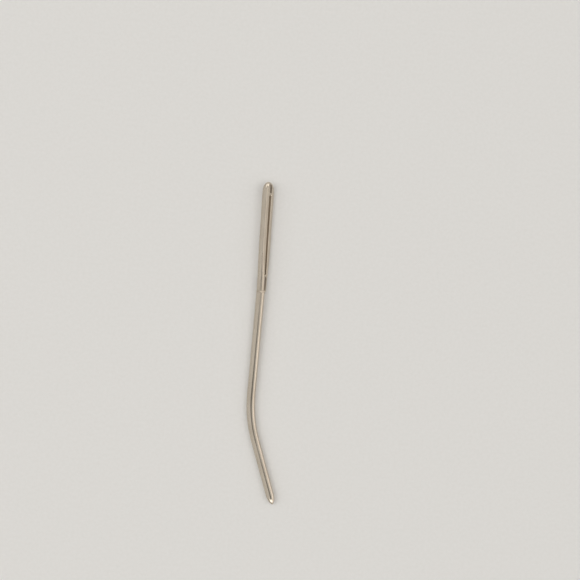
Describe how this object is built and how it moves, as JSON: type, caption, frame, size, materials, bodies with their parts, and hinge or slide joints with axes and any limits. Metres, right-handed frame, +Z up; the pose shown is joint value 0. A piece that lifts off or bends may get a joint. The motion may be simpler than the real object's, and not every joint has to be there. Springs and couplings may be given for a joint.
{
  "type": "bent tip yarn needle",
  "caption": "Blunt steel yarn needle with a long eye in a flattened head, a straight round shaft and a tip bent to one side.",
  "frame": {"origin": "bottom centre of the bounding box, on the surface that the needle lies on", "axes": "+Y along the shaft towards the eye, +X towards the side that the tip bends to, +Z up"},
  "size_m": [0.01, 0.0798, 0.0036],
  "materials": {
    "nickel_plated_steel": "bright nickel plate over steel, tumble polished, with faint drawing lines along the wire"
  },
  "bodies": {
    "root": {"needle": "nickel_plated_steel"}
  },
  "joints": []
}
